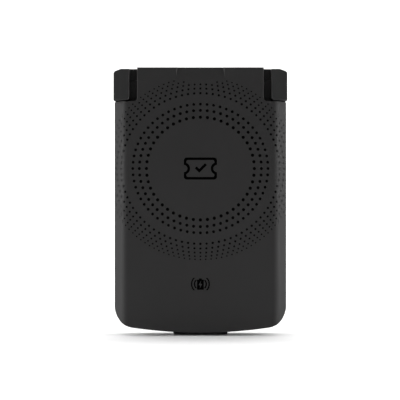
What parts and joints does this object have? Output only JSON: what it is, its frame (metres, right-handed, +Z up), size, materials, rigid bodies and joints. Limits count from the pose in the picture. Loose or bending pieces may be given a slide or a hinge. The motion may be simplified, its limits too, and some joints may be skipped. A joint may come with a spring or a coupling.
{
  "type": "battery pack",
  "caption": "Clip-on battery pack of a handheld ticket validator, charged without contacts through its back, with two sprung squeeze latches at its top corners.",
  "frame": {"origin": "middle of the tray's flat face, which lies on the floor of the handheld's bay, halfway up the cover", "axes": "+X to the right of someone who looks at the outer face, +Y out of the flat face towards the handheld, +Z up towards the latches"},
  "size_m": [0.079, 0.0134, 0.122],
  "materials": {
    "cover_plastic": "fine moulded grain, charcoal",
    "tray_plastic": "fine moulded grain, black",
    "latch_plastic": "smooth satin, charcoal",
    "seal_rubber": "moulded silicone, dull",
    "spring_steel": "drawn spring wire",
    "plate_steel": "stamped stainless sheet",
    "screw_steel": "black-plated steel",
    "insert_brass": "turned and knurled",
    "cell_pouch": "laminated foil",
    "strip_nickel": "rolled nickel strip",
    "foam": "closed-cell foam",
    "insulating_film": "amber film",
    "board_laminate": "solder mask over glass fibre",
    "chip_plastic": "moulded packages",
    "bead_epoxy": "dipped epoxy",
    "contact_plastic": "glass-filled moulding",
    "contact_gold": "gold-plated",
    "coil_copper": "enamelled litz wire",
    "ferrite": "sintered sheet",
    "label_film": "printed film, blank"
  },
  "bodies": {
    "pack": {"outer_cover": "cover_plastic", "inner_tray": "tray_plastic", "bay_seal": "seal_rubber", "latch_spring_left": "spring_steel", "latch_spring_right": "spring_steel", "latch_keeper_left": "plate_steel", "latch_keeper_right": "plate_steel", "keeper_screws": "screw_steel", "tray_screws": "screw_steel", "screw_inserts": "insert_brass", "cell": "cell_pouch", "cell_tabs": "strip_nickel", "cell_foam_inner": "foam", "cell_foam_outer": "foam", "insulating_sheet": "insulating_film", "protection_board": "board_laminate", "protection_board_parts": "chip_plastic", "thermistor": "bead_epoxy", "thermal_cutoff": "bead_epoxy", "contact_block": "contact_plastic", "contact_pads": "contact_gold", "receiver_board": "board_laminate", "receiver_board_parts": "chip_plastic", "board_link": "contact_plastic", "receive_coil": "coil_copper", "coil_leads": "coil_copper", "ferrite_sheet": "ferrite", "rating_label": "label_film"},
    "latch_left": {"latch_left": "latch_plastic"},
    "latch_right": {"latch_right": "latch_plastic"}
  },
  "joints": [
    {"name": "latch_left_press", "type": "slide", "parent": "pack", "child": "latch_left", "axis": [1, 0, 0], "range_m": [0, 0.003], "stiffness_N_per_m": 1200, "springref_m": -0.002, "deforming": ["latch_spring_left"]},
    {"name": "latch_right_press", "type": "slide", "parent": "pack", "child": "latch_right", "axis": [-1, 0, 0], "range_m": [0, 0.003], "stiffness_N_per_m": 1200, "springref_m": -0.002, "deforming": ["latch_spring_right"]}
  ]
}
